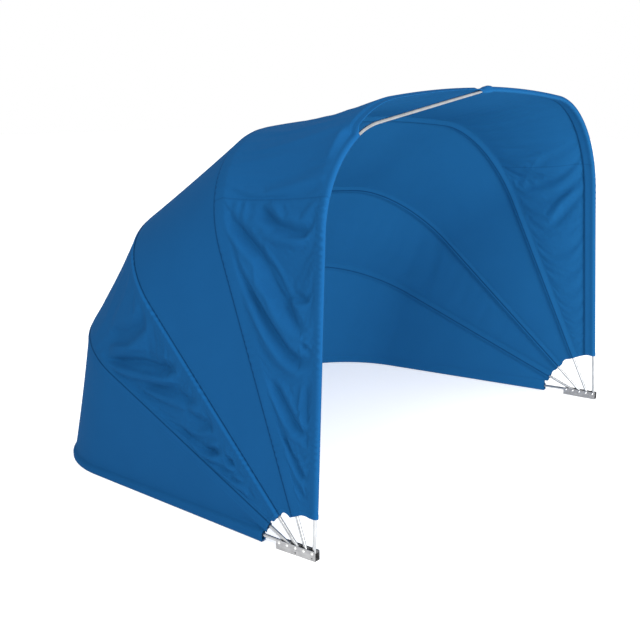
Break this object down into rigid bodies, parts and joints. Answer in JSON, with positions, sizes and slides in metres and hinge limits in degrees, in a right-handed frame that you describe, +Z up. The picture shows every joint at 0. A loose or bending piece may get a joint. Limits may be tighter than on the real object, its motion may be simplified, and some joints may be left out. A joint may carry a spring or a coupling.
{
  "type": "folding hooped canopy shelter",
  "caption": "Freestanding blue cloth wind and sun shelter on a fan of U-shaped aluminium hoops that fold back about pivots in two channel brackets.",
  "frame": {"origin": "on the floor under the middle of the open canopy, front to rear and side to side", "axes": "+X across, to the right seen from the open front; +Y from the open front to the rear; +Z up"},
  "size_m": [2.1288, 1.5114, 1.395],
  "materials": {
    "tube": "drawn, bare",
    "bracket": "mill finish sheet",
    "rivet": "satin",
    "washer": "natural nylon",
    "fitting": "satin",
    "cloth": "coated plain weave",
    "sleeve_cloth": "coated plain weave, doubled"
  },
  "bodies": {
    "base": {"left_bracket": "bracket", "right_bracket": "bracket", "left_pivot_rivets": "rivet", "right_pivot_rivets": "rivet", "left_washers": "washer", "right_washers": "washer"},
    "front_hoop": {"front_left_tube": "tube", "front_right_tube": "tube", "front_coupler": "fitting", "front_left_sleeve": "sleeve_cloth", "front_right_sleeve": "sleeve_cloth"},
    "second_hoop": {"second_left_tube": "tube", "second_right_tube": "tube", "second_spigot": "fitting", "second_sleeve": "sleeve_cloth", "front_roof": "cloth", "front_left_gusset": "cloth", "front_right_gusset": "cloth"},
    "third_hoop": {"third_left_tube": "tube", "third_right_tube": "tube", "third_spigot": "fitting", "third_sleeve": "sleeve_cloth", "second_panel": "cloth"},
    "fourth_hoop": {"fourth_left_tube": "tube", "fourth_right_tube": "tube", "fourth_spigot": "fitting", "fourth_sleeve": "sleeve_cloth", "third_panel": "cloth"},
    "rear_hoop": {"rear_left_tube": "tube", "rear_right_tube": "tube", "rear_spigot": "fitting", "rear_sleeve": "sleeve_cloth", "fourth_panel": "cloth"}
  },
  "joints": [
    {"name": "front_fold", "type": "hinge", "parent": "base", "child": "front_hoop", "pos_m": [0, -0.74369, 0.024], "axis": [-1, 0, 0], "range_deg": [0, 61.6]},
    {"name": "second_fold", "type": "hinge", "parent": "base", "child": "second_hoop", "pos_m": [0, -0.71169, 0.024], "axis": [-1, 0, 0], "range_deg": [0, 41.05], "deforming": ["front_roof", "front_left_gusset", "front_right_gusset"]},
    {"name": "third_fold", "type": "hinge", "parent": "base", "child": "third_hoop", "pos_m": [0, -0.67969, 0.024], "axis": [-1, 0, 0], "range_deg": [0, 18.95], "deforming": ["second_panel"]},
    {"name": "fourth_fold", "type": "hinge", "parent": "base", "child": "fourth_hoop", "pos_m": [0, -0.64769, 0.024], "axis": [-1, 0, 0], "range_deg": [0, 0.35], "deforming": ["third_panel"]},
    {"name": "rear_lift", "type": "hinge", "parent": "base", "child": "rear_hoop", "pos_m": [0, -0.61569, 0.024], "axis": [1, 0, 0], "range_deg": [0, 20.99], "deforming": ["fourth_panel"]}
  ],
  "couplings": [
    {"joint": "second_fold", "follows": "front_fold", "ratio": 0.66558},
    {"joint": "third_fold", "follows": "front_fold", "ratio": 0.30682},
    {"joint": "fourth_fold", "follows": "front_fold", "ratio": 0.00487}
  ]
}
